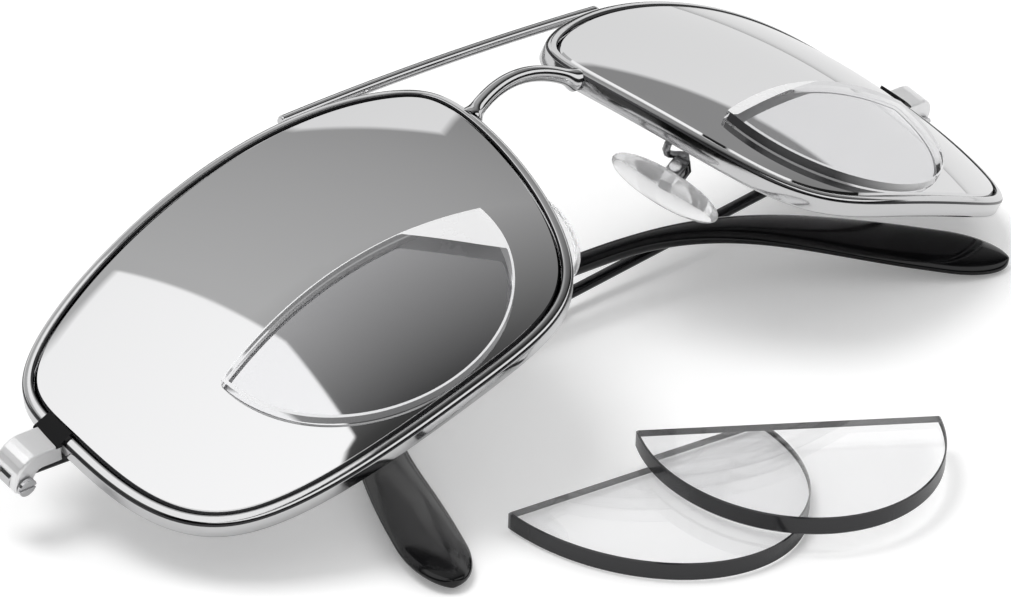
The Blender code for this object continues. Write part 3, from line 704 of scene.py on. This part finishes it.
def studio():
    """World: even pale surround for light and camera. Mirrors see one softbox overhead on the left
    and one in front, a pale wall behind on the right with a dark upright panel and a low dark flag,
    and a ceiling that darkens toward the front, the right and the far left."""
    world = bpy.data.worlds.new("studio")
    bpy.context.scene.world = world
    world.use_nodes = True
    nodes, links = world.node_tree.nodes, world.node_tree.links
    nodes.clear()

    def calc(operation, a, b):
        node = nodes.new("ShaderNodeMath")
        node.operation = operation
        for socket, value in zip(node.inputs, (a, b)):
            if isinstance(value, float):
                socket.default_value = value
            else:
                links.new(value, socket)
        return node.outputs[0]

    def ramp(value, start, stop, low=0.0, high=1.0):
        node = nodes.new("ShaderNodeMapRange")
        node.inputs["From Min"].default_value = start
        node.inputs["From Max"].default_value = stop
        node.inputs["To Min"].default_value = low
        node.inputs["To Max"].default_value = high
        links.new(value, node.inputs["Value"])
        return node.outputs["Result"]

    def over(mask, top, under):
        """top where the mask is 1, under where it is 0."""
        rest = calc("SUBTRACT", 1.0, mask)
        return calc("ADD", calc("MULTIPLY", mask, top), calc("MULTIPLY", rest, under))

    where = nodes.new("ShaderNodeTexCoord")
    split = nodes.new("ShaderNodeSeparateXYZ")
    links.new(where.outputs["Generated"], split.inputs[0])
    x, y, z = split.outputs
    high = calc("MAXIMUM", z, 0.02)
    tx = calc("DIVIDE", x, high)
    ty = calc("DIVIDE", y, high)

    ceiling = calc("MULTIPLY", ramp(ty, -0.22, 0.28, 0.025, 0.58), ramp(tx, 0.0, 1.2, 1.0, 0.58))
    ceiling = calc("MULTIPLY", ceiling, ramp(tx, -1.6, -1.2, 0.12, 1.0))
    ahead = calc("ADD", calc("MULTIPLY", x, 0.643), calc("MULTIPLY", y, 0.766))
    tall = calc("MULTIPLY", ahead, ramp(x, 0.62, 0.68, 0.87, 0.67))
    wall = ramp(calc("SUBTRACT", tall, z), -0.012, 0.012)
    bearing = calc("DIVIDE", x, calc("MAXIMUM", y, 0.05))
    panel = calc("MULTIPLY", ramp(bearing, 1.05, 1.058), ramp(bearing, 1.168, 1.16))
    panel = calc("MULTIPLY", panel, ramp(z, 0.49, 0.48))
    flag = calc("MULTIPLY", ramp(bearing, 0.4, 0.42), ramp(bearing, 1.3, 1.28))
    flag = calc("MULTIPLY", flag, ramp(z, 0.38, 0.36))
    wall_tone = over(flag, FLAG_TONE, over(panel, PANEL_TONE, ramp(z, 0.1, 0.7, 0.93, 1.0)))
    level = over(wall, wall_tone, ceiling)
    nearer = calc("MAXIMUM", calc("SUBTRACT", 0.15, ty), 0.0)
    inner = calc("ADD", tx, calc("MULTIPLY", nearer, 0.25))
    outer = calc("SUBTRACT", ty, calc("MULTIPLY", tx, 0.33))
    box = calc("MULTIPLY", ramp(inner, -0.047, -0.057), ramp(tx, -1.25, -1.2))
    box = calc("MULTIPLY", box, calc("MULTIPLY", ramp(outer, -0.125, -0.115), ramp(ty, 0.76, 0.73)))
    level = over(box, SOFTBOX_TONE, level)
    front = calc("MULTIPLY", ramp(ty, -0.5, -0.55), ramp(ty, -1.8, -1.7))
    front = calc("MULTIPLY", front, calc("MULTIPLY", ramp(tx, -1.6, -1.5), ramp(tx, 2.6, 2.5)))
    level = over(front, FRONT_TONE, level)
    ray = nodes.new("ShaderNodeLightPath")
    plain = over(ray.outputs["Is Camera Ray"], 1.0, PLAIN_LEVEL)
    back = nodes.new("ShaderNodeBackground")
    back.inputs["Color"].default_value = (1.0, 1.0, 1.0, 1.0)
    mirrored = calc("MAXIMUM", ray.outputs["Is Glossy Ray"], ray.outputs["Is Transmission Ray"])
    links.new(over(mirrored, level, plain), back.inputs["Strength"])
    out = nodes.new("ShaderNodeOutputWorld")
    links.new(back.outputs[0], out.inputs[0])


def softbox(name, place, size, power):
    """Area lamp aimed at the glasses; mirrors see the world's softbox instead."""
    data = bpy.data.lights.new(name, "AREA")
    data.shape = "RECTANGLE"
    data.size, data.size_y = size
    data.energy = power
    obj = bpy.data.objects.new(name, data)
    bpy.context.scene.collection.objects.link(obj)
    obj.location = place
    obj.rotation_euler = (-Vector(place)).to_track_quat("-Z", "Y").to_euler()
    obj.visible_glossy = False
    obj.visible_transmission = False


def photo_camera():
    """Long lens at the photograph's angle, fitted to its lens outlines."""
    data = bpy.data.cameras.new("camera")
    cam = bpy.data.objects.new("camera", data)
    bpy.context.scene.collection.objects.link(cam)
    cam.location = Vector(CAMERA_AT) * MM
    cam.rotation_euler = [math.radians(a) for a in CAMERA_TURN]
    data.sensor_width = 36.0
    data.lens = CAMERA_LENS
    data.clip_start = 0.01
    bpy.context.scene.camera = cam


white_table()
studio()
softbox("key", (-0.3, 0.3, 1.15), (0.6, 0.6), 6.4)
softbox("fill", (0.6, -0.3, 1.0), (0.8, 0.8), 1.0)
photo_camera()
bpy.context.scene.view_settings.view_transform = "Standard"
